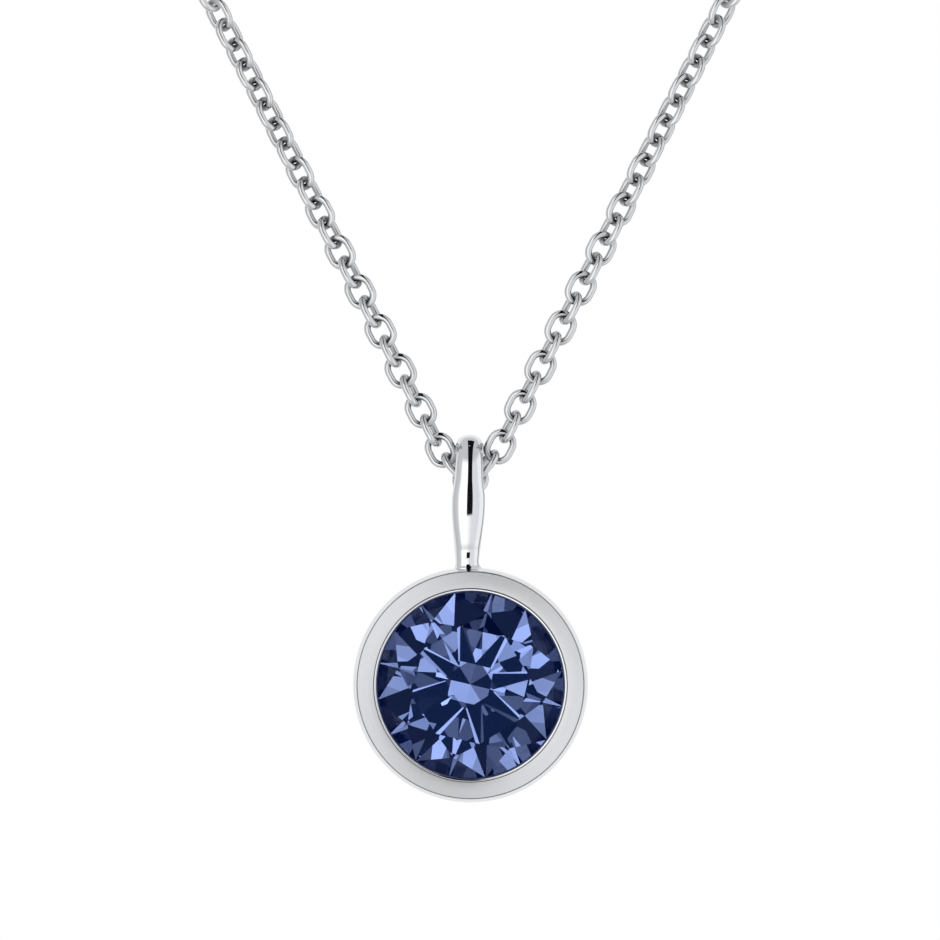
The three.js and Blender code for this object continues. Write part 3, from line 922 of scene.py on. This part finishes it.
# azimuth and elevation from the camera's direction, half size, softness, power
SOFT_BOXES = [
    (-11, 8, 5.0, 1.0, 1.60),
    (14, 4, 6.0, 1.5, 1.30),
    (4, 13, 4.0, 1.0, 0.90),
    (-12, -13, 5.5, 1.5, 1.50),
    (4, -15, 4.5, 1.2, 1.45),
    (-19, -2, 3.6, 1.5, 0.80),
    (-5, -4, 2.6, 0.8, 0.80),
    (26, 2, 8.0, 3.0, 1.25),
    (20, 24, 8.0, 3.0, 1.20),
    (-30, -30, 9.0, 4.0, 1.10),
    (-32, 12, 6.0, 3.0, 1.35),
    (14, -30, 6.0, 3.0, 1.25),
    (-4, 30, 4.0, 2.0, 1.10),
    (5, -6, 3.0, 2.0, 0.22),
    (-10, -3, 3.5, 2.0, 0.30),
]


def studio_world():
    """A white tent: what the metal and the stone reflect. The camera itself sees plain white."""
    w = bpy.data.worlds.new("studio")
    bpy.context.scene.world = w
    w.use_nodes = True
    g = Graph(w.node_tree)
    out = g.node("ShaderNodeOutputWorld")
    d = g.node("ShaderNodeSeparateXYZ")
    g.link(g.node("ShaderNodeTexCoord").outputs["Generated"], d.inputs[0])
    x, y, z = d.outputs
    front = g.math("MULTIPLY", y, -1.0)
    length = g.math("SQRT", g.math("ADD", g.math("MULTIPLY", y, y), g.math("MULTIPLY", z, z)))
    length = g.math("MAXIMUM", length, 1e-4)
    aside = g.math("DIVIDE", x, length)  # tangent of the angle off the middle plane
    lift = g.math("ARCTAN2", z, front)  # from the camera's direction, up and over
    around = g.math("ARCTAN2", x, front)  # from the camera's direction, to the right

    def between(v, lo, hi, soft):
        return g.math("MULTIPLY", g.step(v, lo - soft, lo + soft), g.math("SUBTRACT", 1.0, g.step(v, hi - soft, hi + soft)))

    ramp = g.node("ShaderNodeValToRGB")
    g.link(g.remap(around, -math.pi, math.pi, 0.0, 1.0), ramp.inputs[0])
    stops = [
        (-180, (0.84, 0.845, 0.86)),
        (-140, (0.82, 0.825, 0.84)),
        (-118, (0.84, 0.85, 0.86)),
        (-100, (0.50, 0.51, 0.52)),
        (-52, (0.62, 0.63, 0.64)),
        (-40, (1.12, 1.12, 1.12)),
        (-8, (1.18, 1.18, 1.18)),
        (14, (0.76, 0.77, 0.80)),
        (48, (0.72, 0.74, 0.77)),
        (60, (0.90, 0.91, 0.93)),
        (98, (0.92, 0.93, 0.94)),
        (110, (0.34, 0.35, 0.37)),
        (124, (0.36, 0.37, 0.39)),
        (140, (0.82, 0.825, 0.84)),
        (180, (0.84, 0.845, 0.86)),
    ]
    while len(ramp.color_ramp.elements) > 1:
        ramp.color_ramp.elements.remove(ramp.color_ramp.elements[0])
    first = True
    for angle, colour in stops:
        pos = (angle + 180) / 360
        if first:
            e = ramp.color_ramp.elements[0]
            e.position = pos
            first = False
        else:
            e = ramp.color_ramp.elements.new(pos)
        e.color = rgb(*colour)
    colour = ramp.outputs[0]
    # overhead the tent is a little darker, and the table below it is bright
    colour = g.mix(g.step(z, 0.5, 0.75), colour, rgb(0.56, 0.57, 0.59))
    colour = g.mix(g.math("SUBTRACT", 1.0, g.step(z, -0.95, -0.6)), colour, rgb(0.55, 0.56, 0.58))
    # a black card from the lens up and over the top
    card = g.math(
        "MULTIPLY",
        between(aside, -0.075, 0.275, 0.012),
        between(lift, 0.4 * DEG, 120 * DEG, 0.8 * DEG),
    )
    colour = g.mix(card, colour, rgb(0.006, 0.006, 0.008))
    # light that the stone gathers: dim tent, with soft boxes round the lens
    path = g.node("ShaderNodeLightPath")
    tent = 0.0
    for az, el, size, soft, power in SOFT_BOXES:
        dot = g.node("ShaderNodeVectorMath", operation="DOT_PRODUCT")
        g.link(g.node("ShaderNodeTexCoord").outputs["Generated"], dot.inputs[0])
        az, el = az * DEG, el * DEG
        dot.inputs[1].default_value = (math.sin(az) * math.cos(el), -math.cos(az) * math.cos(el), math.sin(el))
        lit = g.step(dot.outputs[1], math.cos((size + soft) * DEG), math.cos(max(size - soft, 0) * DEG))
        tent = g.math("ADD", tent, g.math("MULTIPLY", lit, power))
    box = g.node("ShaderNodeCombineColor")
    for k, dim in enumerate((0.004, 0.012, 0.045)):
        g.link(g.math("ADD", tent, dim), box.inputs[k])
    colour = g.mix(path.outputs["Is Transmission Ray"], colour, box.outputs[0])
    colour = g.mix(path.outputs["Is Diffuse Ray"], colour, rgb(0.98, 0.98, 0.985))
    colour = g.mix(path.outputs["Is Camera Ray"], colour, rgb(1.0, 1.0, 1.0))
    b = g.node("ShaderNodeBackground")
    g.link(colour, b.inputs[0])
    b.inputs[1].default_value = 1.0
    g.link(b.outputs[0], out.inputs[0])


studio_world()
